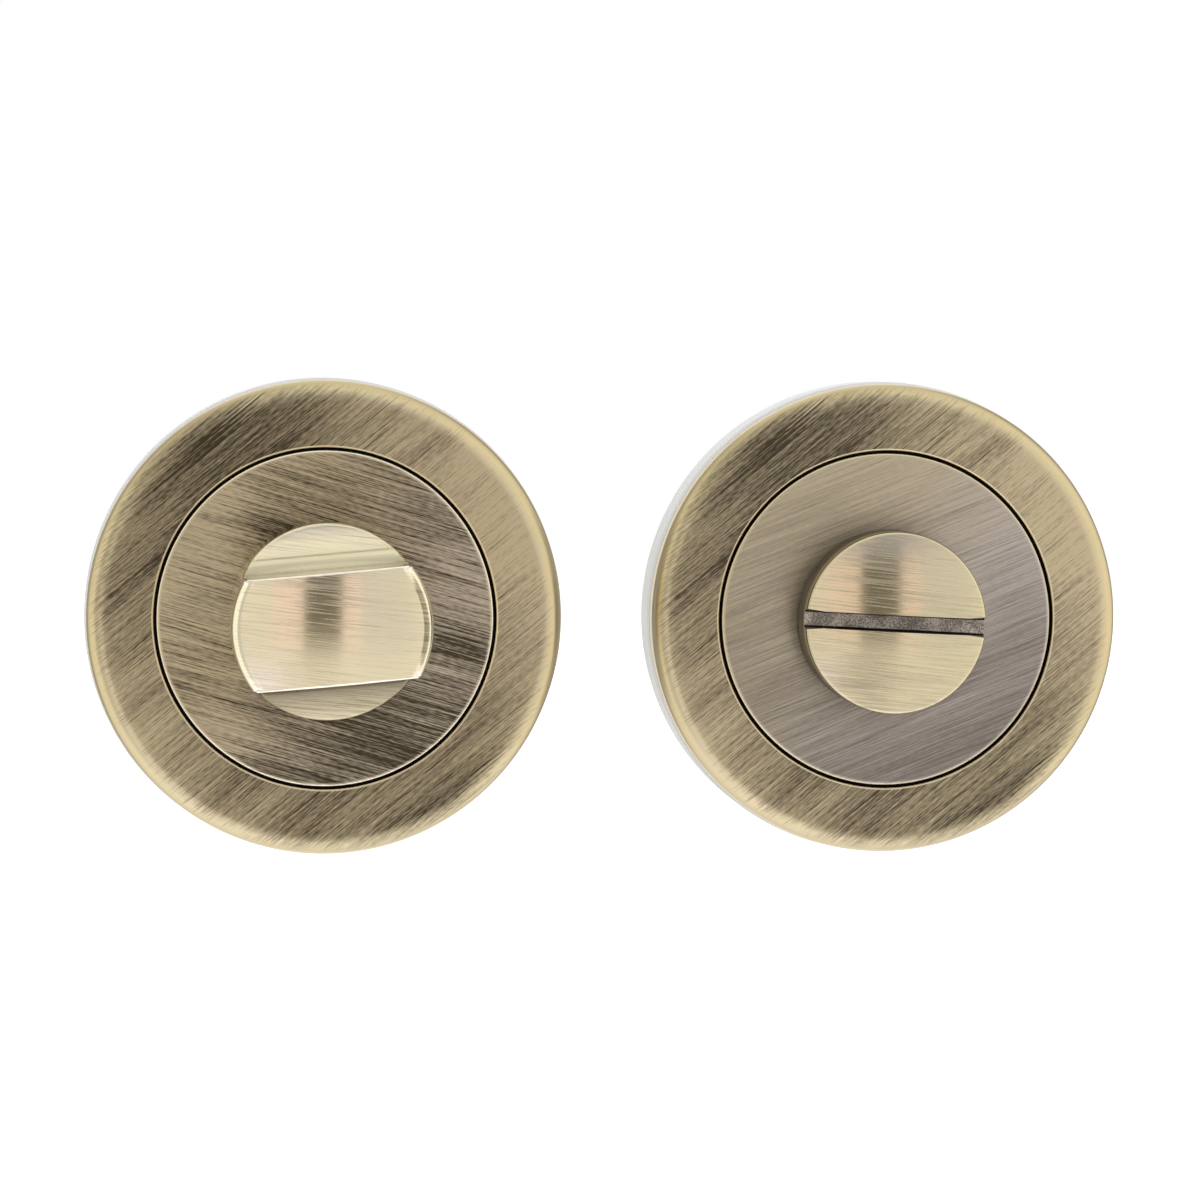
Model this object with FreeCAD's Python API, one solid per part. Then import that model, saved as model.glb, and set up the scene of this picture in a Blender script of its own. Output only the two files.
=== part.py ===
import FreeCAD, Part
import math
import os

# Bathroom turn and release on two round door roses, in millimetres.
# Each half is modelled round its own axis, with w counted outwards from the face of the door,
# and is then set upright: +X to the right, +Z up, and the roses face -Y.
# The origin is on the axis of the thumb turn, in the plane of the door face.

# Rose
rose_diameter = 52.0
rose_depth = 10.0
shoulder_radius = 2.0
ring_width = 7.3
ring_gap = 0.3
lip_thickness = 1.2
edge_break = 0.3
disc_web = 1.6
flange_clearance = 0.6
flange_wall = 1.8
skirt_wall = 2.7
thread_clearance = 0.15
bore_line_chamfer = 0.2

# Nylon base
base_depth = 6.0
base_lip = 0.2
base_floor = 4.0
base_web = 1.6
base_wall = 2.0
base_edge = 0.4
rib_thickness = 1.2
rib_count = 16
base_hole_step = 0.5
spigot_diameter = 8.6
spigot_length = 6.0
bolt_boss_diameter = 10.8
screw_boss_diameter = 6.6

# Mounting plate
plate_web = 2.4
plate_rim_clearance = 0.6
plate_rim_wall = 1.85
plate_hole_clearance = 2.0
plate_collar_wall = 1.0
plate_collar_height = 0.9

# Stem, its bush and what keeps it in
stem_diameter = 10.0
stem_tail = 6.0
running_clearance = 0.05
bush_wall = 0.95
bush_flange_width = 2.4
bush_flange_thickness = 0.35
fit_clearance = 0.02
hub_wall = 2.5
hub_reach = 4.8
turn_gap = 0.5
washer_height = 0.6
washer_thickness = 0.3
washer_width = 2.4
washer_waves = 3
washer_bore_clearance = 0.2
circlip_thickness = 1.0
circlip_width = 1.8
circlip_opening_degrees = 34.0
circlip_lug_radius = 1.25
circlip_hole_radius = 0.6
groove_depth = 0.2
groove_play = 0.05
end_chamfer = 0.4

# Spindle
spindle_side = 5.0
spindle_length = 70.0
spindle_end_gap = 0.3
socket_reach = 3.0
socket_clearance = 0.05
release_socket_clearance = 0.1
grub_diameter = 3.0
grub_recess = 0.3
grub_hex = 1.5
grub_from_tail = 3.0

# Thumb turn
knob_diameter = 21.4
knob_height = 17.6
knob_foot = 4.4
knob_crown_radius = 42.0
knob_edge_radius = 1.4
knob_foot_radius = 0.5
blade_thickness = 12.0
blade_root_radius = 6.0
blade_edge = 0.4
knob_rest_degrees = 5.3

# Release button
button_diameter = 20.0
button_height = 6.6
button_crown_radius = 46.0
button_edge_radius = 0.35
coin_slot_width = 1.85
coin_slot_depth = 2.3
coin_slot_corner = 0.4
button_rest_degrees = -2.7

# Fixings
bolt_centres = 38.0
bolt_diameter = 4.0
bolt_head_diameter = 7.5
bolt_length = 45.0
bolt_plain_diameter = 3.55
bolt_plain_length = 13.6
sleeve_diameter = 6.0
sleeve_head_diameter = 8.0
sleeve_length = 25.0
sleeve_thread_diameter = 3.3
sleeve_thread_depth = 20.0
wood_screw_centres = 30.0
wood_screw_diameter = 3.5
wood_screw_head_diameter = 6.4
wood_screw_length = 16.0
wood_screw_point = 3.5
head_land = 0.25
head_recess = 0.1
hole_clearance = 0.3
cross_width = 0.9
cross_depth = 1.7

# Free space between the roses of the two halves
halves_gap = 10.0

origin = FreeCAD.Vector(0, 0, 0)
w_axis = FreeCAD.Vector(0, 0, 1)
x_axis = FreeCAD.Vector(1, 0, 0)

# Radii and levels that several pieces share
rose_radius = rose_diameter / 2
ring_bore_radius = rose_radius - ring_width
disc_radius = ring_bore_radius - ring_gap
lip_level = rose_depth - lip_thickness
thread_bore_radius = rose_radius - skirt_wall
plate_radius = thread_bore_radius - thread_clearance
rim_inner_radius = plate_radius - plate_rim_wall
flange_radius = rim_inner_radius - flange_clearance
plate_top = base_floor + plate_web
rim_top = lip_level - plate_rim_clearance
stem_radius = stem_diameter / 2
bush_bore_radius = stem_radius + running_clearance
bush_radius = bush_bore_radius + bush_wall
disc_bore_radius = bush_radius + fit_clearance
hub_radius = disc_bore_radius + hub_wall
plate_hole_radius = hub_radius + plate_hole_clearance
base_hole_radius = plate_hole_radius + base_hole_step
hub_level = rose_depth - hub_reach
circlip_top = hub_level - washer_height
circlip_bottom = circlip_top - circlip_thickness
groove_radius = stem_radius - groove_depth
foot_level = rose_depth + turn_gap
socket_top = foot_level + socket_reach
grub_level = grub_from_tail - stem_tail
halves_apart = rose_diameter + halves_gap


def point(radius, level):
    """A point of a turned profile, by its radius and its level above the door."""
    return FreeCAD.Vector(radius, 0, level)


def closed_face(corners):
    """Face inside an outline of (corner, rounding): an arc above zero, and a chamfer below it."""
    edges = []
    ends = []
    count = len(corners)
    for i in range(count):
        corner, rounding = corners[i]
        before = corners[i - 1][0]
        after = corners[(i + 1) % count][0]
        if rounding == 0:
            ends.append((corner, corner))
            continue
        back = (before - corner).normalize()
        ahead = (after - corner).normalize()
        if rounding < 0:
            ends.append((corner - back * rounding, corner - ahead * rounding))
            edges.append(Part.makeLine(*ends[i]))
            continue
        half = back.getAngle(ahead) / 2
        reach = rounding / math.tan(half)
        middle = (back + ahead).normalize()
        start = corner + back * reach
        end = corner + ahead * reach
        top = corner + middle * (rounding / math.sin(half) - rounding)
        edges.append(Part.Arc(start, top, end).toShape())
        ends.append((start, end))
    for i in range(count):
        start = ends[i][1]
        end = ends[(i + 1) % count][0]
        if start.distanceToPoint(end) > 1e-7:
            edges.append(Part.makeLine(start, end))
    wire = Part.Wire(Part.__sortEdges__(edges))
    return Part.Face(wire)


def turned(corners):
    """Solid of revolution round the w axis from (radius, level, rounding) corners."""
    outline = [(point(radius, level), rounding) for radius, level, rounding in corners]
    return closed_face(outline).revolve(origin, w_axis, 360)


def rod(radius, low, high, x=0.0, y=0.0):
    """Round bar from one level to another."""
    return Part.makeCylinder(radius, high - low, FreeCAD.Vector(x, y, low), w_axis)


def square_bar(side, low, high):
    """Square bar on the axis."""
    corner = FreeCAD.Vector(-side / 2, -side / 2, low)
    return Part.makeBox(side, side, high - low, corner)


def cross_recess(top, reach):
    """Tapered cross that a screwdriver fits, cut down from the top of a head."""
    cone = Part.makeCone(cross_width / 2, reach, cross_depth, FreeCAD.Vector(0, 0, top - cross_depth), w_axis)
    arms = []
    for length, width in ((2 * reach, cross_width), (cross_width, 2 * reach)):
        corner = FreeCAD.Vector(-length / 2, -width / 2, top - cross_depth)
        arms.append(Part.makeBox(length, width, cross_depth, corner))
    return cone.common(arms[0].fuse(arms[1]))


def head_cutter(head_diameter, hole_radius, x, y):
    """Countersunk hole through the mounting plate, with its cone up to the plate's top."""
    head_radius = head_diameter / 2 + head_recess
    land = head_land + head_recess
    cone_bottom = plate_top - land - (head_radius - hole_radius)
    corners = [
        (0, base_floor - 1, 0),
        (hole_radius, base_floor - 1, 0),
        (hole_radius, cone_bottom, 0),
        (head_radius, plate_top - land, 0),
        (head_radius, rim_top + 1, 0),
        (0, rim_top + 1, 0),
    ]
    cutter = turned(corners)
    cutter.translate(FreeCAD.Vector(x, y, 0))
    return cutter


def dome_drop(radius, crown_radius):
    """How far a domed top falls from its middle to a given radius."""
    return crown_radius - math.sqrt(crown_radius ** 2 - radius ** 2)


def stem_corners():
    """Outline of the stem, from its tail up to the underside of the knob or button."""
    return [
        (0, -stem_tail, 0),
        (stem_radius - end_chamfer, -stem_tail, 0),
        (stem_radius, end_chamfer - stem_tail, 0),
        (stem_radius, circlip_bottom - groove_play, 0),
        (groove_radius, circlip_bottom - groove_play, 0),
        (groove_radius, circlip_top + groove_play, 0),
        (stem_radius, circlip_top + groove_play, 0),
        (stem_radius, foot_level, 0),
    ]


def headed_stem(diameter, height, foot_radius, edge_radius, crown_radius):
    """Stem with a round head on it, whose top is a shallow dome with a softened edge."""
    radius = diameter / 2
    top = foot_level + height
    wall_top = top - dome_drop(radius, crown_radius)
    corners = stem_corners() + [
        (radius, foot_level, foot_radius),
        (radius, top + 1, 0),
        (0, top + 1, 0),
    ]
    body = turned(corners)
    centre = point(0, top - crown_radius)
    dome = Part.makeSphere(crown_radius, centre)
    shell = rod(radius + 1, wall_top - 1, top + 2)
    body = body.cut(shell.cut(dome))
    rim = [edge for edge in body.Edges if is_circle(edge, radius, wall_top)]
    return body.makeFillet(edge_radius, rim)


def is_circle(edge, radius, level):
    """Whether an edge is the full circle of this radius at this level."""
    box = edge.BoundBox
    flat = abs(box.ZMin - level) < 0.01 and abs(box.ZMax - level) < 0.01
    return flat and abs(box.XMax - radius) < 0.01 and abs(box.XMin + radius) < 0.01


def finger_cutter(side):
    """What is milled away on one side of the knob: a flat cheek that a scoop carries out to the rim."""
    cheek = side * blade_thickness / 2
    far = side * knob_diameter
    floor = foot_level + knob_foot
    top = foot_level + knob_height + 1
    start = -knob_diameter
    corners = [
        (FreeCAD.Vector(start, cheek, top), 0),
        (FreeCAD.Vector(start, cheek, floor), blade_root_radius),
        (FreeCAD.Vector(start, far, floor), 0),
        (FreeCAD.Vector(start, far, top), 0),
    ]
    return closed_face(corners).extrude(FreeCAD.Vector(2 * knob_diameter, 0, 0))


def blade_edges(knob):
    """Top edges of the cheeks: the chamfer runs on from them down the ends and round the scoops."""
    wall_foot = foot_level + knob_foot + blade_root_radius
    chosen = []
    for edge in knob.Edges:
        if edge.Degenerated:
            continue
        box = edge.BoundBox
        on_cheek = box.YLength < 0.01 and abs(abs(box.YMax) - blade_thickness / 2) < 0.01
        if on_cheek and box.ZMin > wall_foot + 0.1:
            chosen.append(edge)
    return chosen


def thumb_turn():
    """Knob, foot and stem in one piece, with the socket for the spindle and the grub screw's hole."""
    knob = headed_stem(knob_diameter, knob_height, knob_foot_radius, knob_edge_radius, knob_crown_radius)
    for side in (-1, 1):
        knob = knob.cut(finger_cutter(side))
    knob = knob.makeChamfer(blade_edge, blade_edges(knob))
    knob = knob.cut(square_bar(spindle_side + 2 * socket_clearance, -stem_tail - 1, socket_top))
    grub_hole = Part.makeCylinder(
        grub_diameter / 2, stem_diameter, FreeCAD.Vector(0, 0, grub_level), FreeCAD.Vector(0, 1, 0)
    )
    return knob.cut(grub_hole)


def release_button():
    """Domed button with a coin slot right across it, and its stem with a socket for the spindle."""
    button = headed_stem(
        button_diameter, button_height, button_edge_radius, button_edge_radius, button_crown_radius
    )
    top = foot_level + button_height
    half_width = coin_slot_width / 2
    start = -button_diameter
    corners = [
        (FreeCAD.Vector(start, -half_width, top + 1), 0),
        (FreeCAD.Vector(start, -half_width, top - coin_slot_depth), coin_slot_corner),
        (FreeCAD.Vector(start, half_width, top - coin_slot_depth), coin_slot_corner),
        (FreeCAD.Vector(start, half_width, top + 1), 0),
    ]
    slot = closed_face(corners).extrude(FreeCAD.Vector(2 * button_diameter, 0, 0))
    button = button.cut(slot)
    side = spindle_side + 2 * release_socket_clearance
    return button.cut(square_bar(side, -stem_tail - 1, socket_top))


def inner_rose():
    """Disc that shows round the stem, with a skirted flange under the ring and a hub for the bush."""
    top = rose_depth
    corners = [
        (disc_bore_radius, hub_level, 0),
        (hub_radius, hub_level, -edge_break),
        (hub_radius, top - disc_web, -edge_break),
        (flange_radius - flange_wall, top - disc_web, -edge_break),
        (flange_radius - flange_wall, plate_top, 0),
        (flange_radius, plate_top, 0),
        (flange_radius, lip_level, 0),
        (disc_radius, lip_level, 0),
        (disc_radius, top, -edge_break),
        (disc_bore_radius, top, 0),
    ]
    return turned(corners)


def outer_rose():
    """Ring with a rounded shoulder, whose lip clamps the disc's flange and whose skirt is threaded."""
    corners = [
        (thread_bore_radius, base_depth, 0),
        (rose_radius, base_depth, -bore_line_chamfer),
        (rose_radius, rose_depth, shoulder_radius),
        (ring_bore_radius, rose_depth, -bore_line_chamfer),
        (ring_bore_radius, lip_level, 0),
        (thread_bore_radius, lip_level, 0),
    ]
    return turned(corners)


def mounting_plate(head_diameter, hole_radius):
    """Die-cast plate with a threaded rim, notched at the two countersunk bolt holes."""
    collar = plate_hole_radius + plate_collar_wall
    collar_top = plate_top + plate_collar_height
    corners = [
        (plate_hole_radius, base_floor, 0),
        (plate_radius, base_floor, 0),
        (plate_radius, rim_top, -edge_break),
        (rim_inner_radius, rim_top, -edge_break),
        (rim_inner_radius, plate_top, 0),
        (collar, plate_top, 0),
        (collar, collar_top, -edge_break),
        (plate_hole_radius, collar_top, 0),
    ]
    plate = turned(corners)
    for side in (-1, 1):
        plate = plate.cut(head_cutter(head_diameter, hole_radius, 0, side * bolt_centres / 2))
        notch_radius = sleeve_head_diameter / 2 + hole_clearance
        plate = plate.cut(rod(notch_radius, plate_top, rim_top + 1, 0, side * bolt_centres / 2))
        screw_hole = wood_screw_diameter / 2 + hole_clearance
        plate = plate.cut(head_cutter(wood_screw_head_diameter, screw_hole, side * wood_screw_centres / 2, 0))
    return plate


def nylon_base(hole_radius):
    """Moulded base: rim and floor in front, ribs and bosses behind, and two spigots into the door."""
    outside = rose_radius + base_lip
    corners = [
        (base_hole_radius, 0, 0),
        (outside, 0, -base_edge),
        (outside, base_depth, -base_edge),
        (thread_bore_radius, base_depth, 0),
        (thread_bore_radius, base_floor, 0),
        (base_hole_radius, base_floor, 0),
    ]
    body = turned(corners)
    pocket_depth = base_floor - base_web
    pocket = rod(outside - base_wall, -1, pocket_depth)
    pocket = pocket.cut(rod(base_hole_radius + base_web, -1, pocket_depth))
    solid_parts = []
    for i in range(rib_count):
        rib = Part.makeBox(
            outside, rib_thickness, pocket_depth + 1, FreeCAD.Vector(0, -rib_thickness / 2, -1)
        )
        rib.rotate(origin, w_axis, 360 * (i + 0.5) / rib_count)
        solid_parts.append(rib)
    spigots = []
    for side in (-1, 1):
        bolt_y = side * bolt_centres / 2
        screw_x = side * wood_screw_centres / 2
        solid_parts.append(rod(bolt_boss_diameter / 2, -1, pocket_depth, 0, bolt_y))
        solid_parts.append(rod(screw_boss_diameter / 2, -1, pocket_depth, screw_x, 0))
        spigots.append(rod(spigot_diameter / 2, -spigot_length, base_floor / 2, 0, bolt_y))
    body = body.cut(pocket.cut(solid_parts))
    body = body.fuse(spigots)
    screw_hole = wood_screw_diameter / 2 + hole_clearance
    for side in (-1, 1):
        body = body.cut(rod(hole_radius, -spigot_length - 1, base_depth, 0, side * bolt_centres / 2))
        body = body.cut(rod(screw_hole, -1, base_depth, side * wood_screw_centres / 2, 0))
    return body.removeSplitter()


def stem_bush():
    """Flanged bush in the hub of the disc, whose flange keeps the knob or button off the disc."""
    flange = bush_radius + bush_flange_width
    corners = [
        (bush_bore_radius, hub_level, 0),
        (bush_radius, hub_level, 0),
        (bush_radius, rose_depth, 0),
        (flange, rose_depth, 0),
        (flange, rose_depth + bush_flange_thickness, 0),
        (bush_bore_radius, rose_depth + bush_flange_thickness, 0),
    ]
    return turned(corners)


def wavy_circle(radius, middle, height):
    """Closed curve round the axis that rises and falls evenly about a middle level."""
    steps = 8 * washer_waves
    points = []
    for i in range(steps):
        angle = 2 * math.pi * i / steps
        level = middle + height * math.cos(washer_waves * angle)
        points.append(FreeCAD.Vector(radius * math.cos(angle), radius * math.sin(angle), level))
    curve = Part.BSplineCurve()
    curve.interpolate(Points=points, PeriodicFlag=True)
    return curve.toShape()


def wave_washer():
    """Thin spring ring, waved so that it takes up the end float between the hub and the circlip."""
    inner = stem_radius + washer_bore_clearance
    outer = inner + washer_width
    middle = hub_level - washer_height / 2
    wave = (washer_height - washer_thickness) / 2 - fit_clearance
    low = middle - washer_thickness / 2
    high = middle + washer_thickness / 2
    rims = [(inner, low), (outer, low), (outer, high), (inner, high)]
    curves = [wavy_circle(radius, level, wave) for radius, level in rims]
    faces = []
    for i in range(len(curves)):
        faces.append(Part.makeRuledSurface(curves[i], curves[(i + 1) % len(curves)]))
    shell = Part.makeShell(faces)
    shell.sewShape()
    washer = Part.makeSolid(shell)
    if washer.Volume < 0:
        washer.reverse()
    return washer


def circlip():
    """Retaining ring with two eyed lugs beside its opening."""
    outer = groove_radius + circlip_width
    ring = rod(outer, circlip_bottom, circlip_top)
    lug_turn = math.radians(circlip_opening_degrees / 2) + circlip_lug_radius / outer
    lug_centres = []
    for side in (-1, 1):
        x = outer * math.sin(side * lug_turn)
        y = -outer * math.cos(lug_turn)
        lug_centres.append((x, y))
        ring = ring.fuse(rod(circlip_lug_radius, circlip_bottom, circlip_top, x, y))
    ring = ring.cut(rod(groove_radius + fit_clearance, circlip_bottom - 1, circlip_top + 1))
    for x, y in lug_centres:
        ring = ring.cut(rod(circlip_hole_radius, circlip_bottom - 1, circlip_top + 1, x, y))
    reach = 2 * outer
    half = math.radians(circlip_opening_degrees / 2)
    corners = [
        (FreeCAD.Vector(0, 0, circlip_bottom - 1), 0),
        (FreeCAD.Vector(-reach * math.sin(half), -reach * math.cos(half), circlip_bottom - 1), 0),
        (FreeCAD.Vector(reach * math.sin(half), -reach * math.cos(half), circlip_bottom - 1), 0),
    ]
    opening = closed_face(corners).extrude(FreeCAD.Vector(0, 0, circlip_thickness + 2))
    return ring.cut(opening).removeSplitter()


def spindle():
    """Square spindle, chamfered at both ends."""
    top = socket_top - spindle_end_gap
    bar = square_bar(spindle_side, top - spindle_length, top)
    ends = []
    for edge in bar.Edges:
        if edge.BoundBox.ZLength < 0.01:
            ends.append(edge)
    return bar.makeChamfer(end_chamfer, ends)


def grub_screw():
    """Socket set screw that clamps the spindle in the stem of the turn."""
    inner = spindle_side / 2 + fit_clearance
    radius = grub_diameter / 2 - fit_clearance
    upwards = FreeCAD.Vector(0, 1, 0)
    length = stem_radius - inner - grub_recess
    screw = Part.makeCylinder(radius, length, FreeCAD.Vector(0, inner, grub_level), upwards)
    corners = []
    for i in range(6):
        angle = math.radians(60 * i)
        reach = grub_hex / 2 / math.cos(math.radians(30))
        x = reach * math.cos(angle)
        z = grub_level + reach * math.sin(angle)
        corners.append((FreeCAD.Vector(x, inner + length / 2, z), 0))
    socket = closed_face(corners).extrude(FreeCAD.Vector(0, length, 0))
    return screw.cut(socket)


def bolt():
    """Countersunk machine screw with a plain shank, and its thread as a plain cylinder."""
    top = plate_top - head_recess
    head = bolt_head_diameter / 2
    plain = bolt_plain_diameter / 2
    thread = bolt_diameter / 2
    tip = top - bolt_length
    corners = [
        (0, tip, 0),
        (thread - end_chamfer, tip, 0),
        (thread, tip + end_chamfer, 0),
        (thread, top - bolt_plain_length, 0),
        (plain, top - bolt_plain_length, 0),
        (plain, top - head_land - (head - plain), 0),
        (head, top - head_land, 0),
        (head, top, 0),
        (0, top, 0),
    ]
    return turned(corners).cut(cross_recess(top, bolt_diameter / 2))


def threaded_sleeve():
    """Countersunk sleeve that a bolt from the other side of the door screws into."""
    top = plate_top - head_recess
    head = sleeve_head_diameter / 2
    outside = sleeve_diameter / 2
    tip = top - sleeve_length
    corners = [
        (0, tip, 0),
        (outside - end_chamfer, tip, 0),
        (outside, tip + end_chamfer, 0),
        (outside, top - head_land - (head - outside), 0),
        (head, top - head_land, 0),
        (head, top, 0),
        (0, top, 0),
    ]
    sleeve = turned(corners)
    sleeve = sleeve.cut(rod(sleeve_thread_diameter / 2, tip - 1, tip + sleeve_thread_depth))
    return sleeve.cut(cross_recess(top, bolt_diameter / 2))


def wood_screw():
    """Short countersunk wood screw, pointed, with its thread as a plain cylinder."""
    top = plate_top - head_recess
    head = wood_screw_head_diameter / 2
    shank = wood_screw_diameter / 2
    tip = top - wood_screw_length
    corners = [
        (0, tip, 0),
        (shank, tip + wood_screw_point, 0),
        (shank, top - head_land - (head - shank), 0),
        (head, top - head_land, 0),
        (head, top, 0),
        (0, top, 0),
    ]
    return turned(corners).cut(cross_recess(top, wood_screw_diameter / 2))


def on_door(shape, centre_x, degrees=0.0, x=0.0, y=0.0):
    """The piece moved from the middle of its half to its place on the door, set upright."""
    placed = shape.copy()
    placed.translate(FreeCAD.Vector(x, y, 0))
    placed.rotate(origin, w_axis, degrees)
    placed.rotate(origin, x_axis, 90)
    placed.translate(FreeCAD.Vector(centre_x, 0, 0))
    return placed


def rose_pieces(half, centre_x, head_diameter, fixing_diameter, rest_degrees):
    """The pieces that both halves have, by node name."""
    hole_radius = fixing_diameter / 2 + hole_clearance
    return {
        half + "_inner_rose": on_door(inner_rose(), centre_x),
        half + "_outer_rose": on_door(outer_rose(), centre_x),
        half + "_mounting_plate": on_door(mounting_plate(head_diameter, hole_radius), centre_x),
        half + "_nylon_base": on_door(nylon_base(hole_radius), centre_x),
        half + "_stem_bush": on_door(stem_bush(), centre_x),
        half + "_wave_washer": on_door(wave_washer(), centre_x, rest_degrees),
        half + "_circlip": on_door(circlip(), centre_x, rest_degrees),
        half + "_wood_screw_left": on_door(wood_screw(), centre_x, 0, -wood_screw_centres / 2),
        half + "_wood_screw_right": on_door(wood_screw(), centre_x, 0, wood_screw_centres / 2),
    }


def turn_pieces():
    """The half with the thumb turn, on the inside of the door."""
    pieces = rose_pieces("turn", 0, bolt_head_diameter, bolt_diameter, knob_rest_degrees)
    pieces["turn_knob"] = on_door(thumb_turn(), 0, knob_rest_degrees)
    pieces["turn_spindle"] = on_door(spindle(), 0, knob_rest_degrees)
    pieces["turn_grub_screw"] = on_door(grub_screw(), 0, knob_rest_degrees)
    pieces["turn_bolt_upper"] = on_door(bolt(), 0, 0, 0, bolt_centres / 2)
    pieces["turn_bolt_lower"] = on_door(bolt(), 0, 0, 0, -bolt_centres / 2)
    return pieces


def release_pieces():
    """The half with the coin slot, on the outside of the door."""
    pieces = rose_pieces("release", halves_apart, sleeve_head_diameter, sleeve_diameter, button_rest_degrees)
    pieces["release_button"] = on_door(release_button(), halves_apart, button_rest_degrees)
    pieces["release_sleeve_upper"] = on_door(threaded_sleeve(), halves_apart, 0, 0, bolt_centres / 2)
    pieces["release_sleeve_lower"] = on_door(threaded_sleeve(), halves_apart, 0, 0, -bolt_centres / 2)
    return pieces


def main():
    os.makedirs("parts", exist_ok=True)
    pieces = turn_pieces()
    pieces.update(release_pieces())
    for name, shape in pieces.items():
        if not shape.isValid() or len(shape.Solids) != 1:
            raise ValueError(name + " is not one valid solid")
        shape.Solids[0].exportStep("parts/" + name + ".step")
        print(name, round(shape.Volume, 2))


main()
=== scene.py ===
import math

import bmesh
import bpy
import numpy as np
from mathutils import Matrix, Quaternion, Vector


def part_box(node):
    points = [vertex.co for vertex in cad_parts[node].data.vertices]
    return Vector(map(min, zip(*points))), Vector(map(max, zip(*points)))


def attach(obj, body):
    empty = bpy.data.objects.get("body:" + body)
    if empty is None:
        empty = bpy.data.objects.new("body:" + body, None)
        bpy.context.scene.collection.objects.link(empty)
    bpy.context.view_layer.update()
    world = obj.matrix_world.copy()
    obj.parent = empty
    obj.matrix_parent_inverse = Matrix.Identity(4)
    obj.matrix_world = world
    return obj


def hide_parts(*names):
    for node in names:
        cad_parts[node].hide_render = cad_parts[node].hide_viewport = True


# A bathroom thumb turn and its coin release, in metres. The roses lie on the plane y = 0 and face -Y.
# Each piece is worked out round the axis of its own half: x to the right, y up, and w outwards from the
# door, in millimetres.

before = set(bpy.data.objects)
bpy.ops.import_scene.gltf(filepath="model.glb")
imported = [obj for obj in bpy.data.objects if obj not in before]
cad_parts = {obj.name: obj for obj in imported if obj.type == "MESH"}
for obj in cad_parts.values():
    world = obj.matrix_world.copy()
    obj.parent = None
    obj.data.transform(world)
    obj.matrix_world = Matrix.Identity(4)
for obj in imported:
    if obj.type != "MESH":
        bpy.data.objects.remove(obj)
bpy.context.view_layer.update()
mm = 0.001


def halfCentre(half):
    low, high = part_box(half + "_outer_rose")
    return (low.x + high.x) / 2


def boxRadius(node):
    low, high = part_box(node)
    return (high.x - low.x) / 2 / mm


def boxLevels(node):
    # lowest and highest level above the door, in millimetres
    low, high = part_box(node)
    return -high.y / mm, -low.y / mm


centreX = {half: halfCentre(half) for half in ("turn", "release")}
restTurn = {"turn": 5.3, "release": -2.7}
print("frame loaded: halves at", {half: round(x, 4) for half, x in centreX.items()})


# Camera, light and floor

view = {
    "place": (-0.0226, -0.48, 0.031),
    "aim": (0.0312, 0.0, 0.0015),
    "roll": 0.5,
    "frameWidth": 0.1347,
    "distance": 0.4845,
    "sensor": 36.0,
}


def lookAt(obj, place, aim, roll=0.0):
    ahead = Vector(aim) - Vector(place)
    obj.location = place
    turn = ahead.to_track_quat("-Z", "Y") @ Quaternion((0, 0, 1), math.radians(roll))
    obj.rotation_euler = turn.to_euler()


def addCamera():
    data = bpy.data.cameras.new("camera")
    data.sensor_width = view["sensor"]
    data.lens = view["sensor"] * view["distance"] / view["frameWidth"]
    data.clip_start = 0.01
    data.clip_end = 20
    camera = bpy.data.objects.new("camera", data)
    bpy.context.scene.collection.objects.link(camera)
    lookAt(camera, view["place"], view["aim"], view["roll"])
    bpy.context.scene.camera = camera


class Nodes:
    # short ways to add and join nodes in one tree
    def __init__(self, tree):
        self.tree = tree
        tree.nodes.clear()

    def add(self, kind, inputs=None, **settings):
        node = self.tree.nodes.new("ShaderNode" + kind)
        for name, value in settings.items():
            setattr(node, name, value)
        for key, value in (inputs or {}).items():
            if isinstance(value, bpy.types.NodeSocket):
                self.tree.links.new(value, node.inputs[key])
            else:
                node.inputs[key].default_value = value
        return node

    def math(self, operation, a, b=0.0, c=0.0, clamp=False):
        node = self.add("Math", {0: a, 1: b, 2: c}, operation=operation, use_clamp=clamp)
        return node.outputs[0]

    def step(self, value, low, high, toLow=0.0, toHigh=1.0):
        # eased change from one number to another while value goes from low to high
        node = self.add(
            "MapRange",
            {"Value": value, "From Min": low, "From Max": high, "To Min": toLow, "To Max": toHigh},
            interpolation_type="SMOOTHSTEP",
        )
        return node.outputs["Result"]

    def mix(self, factor, a, b, blend="MIX"):
        node = self.add("Mix", data_type="RGBA", blend_type=blend)
        for key, value in ((0, factor), (6, a), (7, b)):
            if isinstance(value, bpy.types.NodeSocket):
                self.tree.links.new(value, node.inputs[key])
            else:
                node.inputs[key].default_value = value
        return node.outputs[2]


studio = {
    "diffuse": (0.88, 0.88, 0.9, 1),
    "diffuseLevel": 0.75,
    "cream": (0.87, 0.848, 0.81, 1),
    "creamLeft": (1.04, 0.99, 0.88, 1),
    "creamLow": (1.0, 0.96, 0.88, 1),
    "pink": (1.11, 0.925, 0.855, 1),
    "dark": (0.185, 0.175, 0.13, 1),
    "lilac": (0.46, 0.475, 0.6, 1),
    "zenith": (1.12, 1.08, 0.92, 1),
    "lowLeft": (1.2, 1.17, 1.38, 1),
    "below": (1.4, 1.36, 1.3, 1),
    "side": (1.25, 1.18, 0.98, 1),
    "farLeft": (0.72, 0.68, 0.58, 1),
    "farRight": (1.1, 1.04, 0.9, 1),
    "rear": (0.5, 0.47, 0.4, 1),
}
# where the dim gap and its screens stand, in degrees: their two sides and how soft those are, and the
# gap's foot and top
studioGap = {
    "dark": (-6.0, 5.3, 0.4),
    "pink": (-15.5, 11.4, 0.5),
    "heights": (-13.0, -4.0, 14.0, 17.0),
    "faintFoot": (19.0, 0.05),
}
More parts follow.
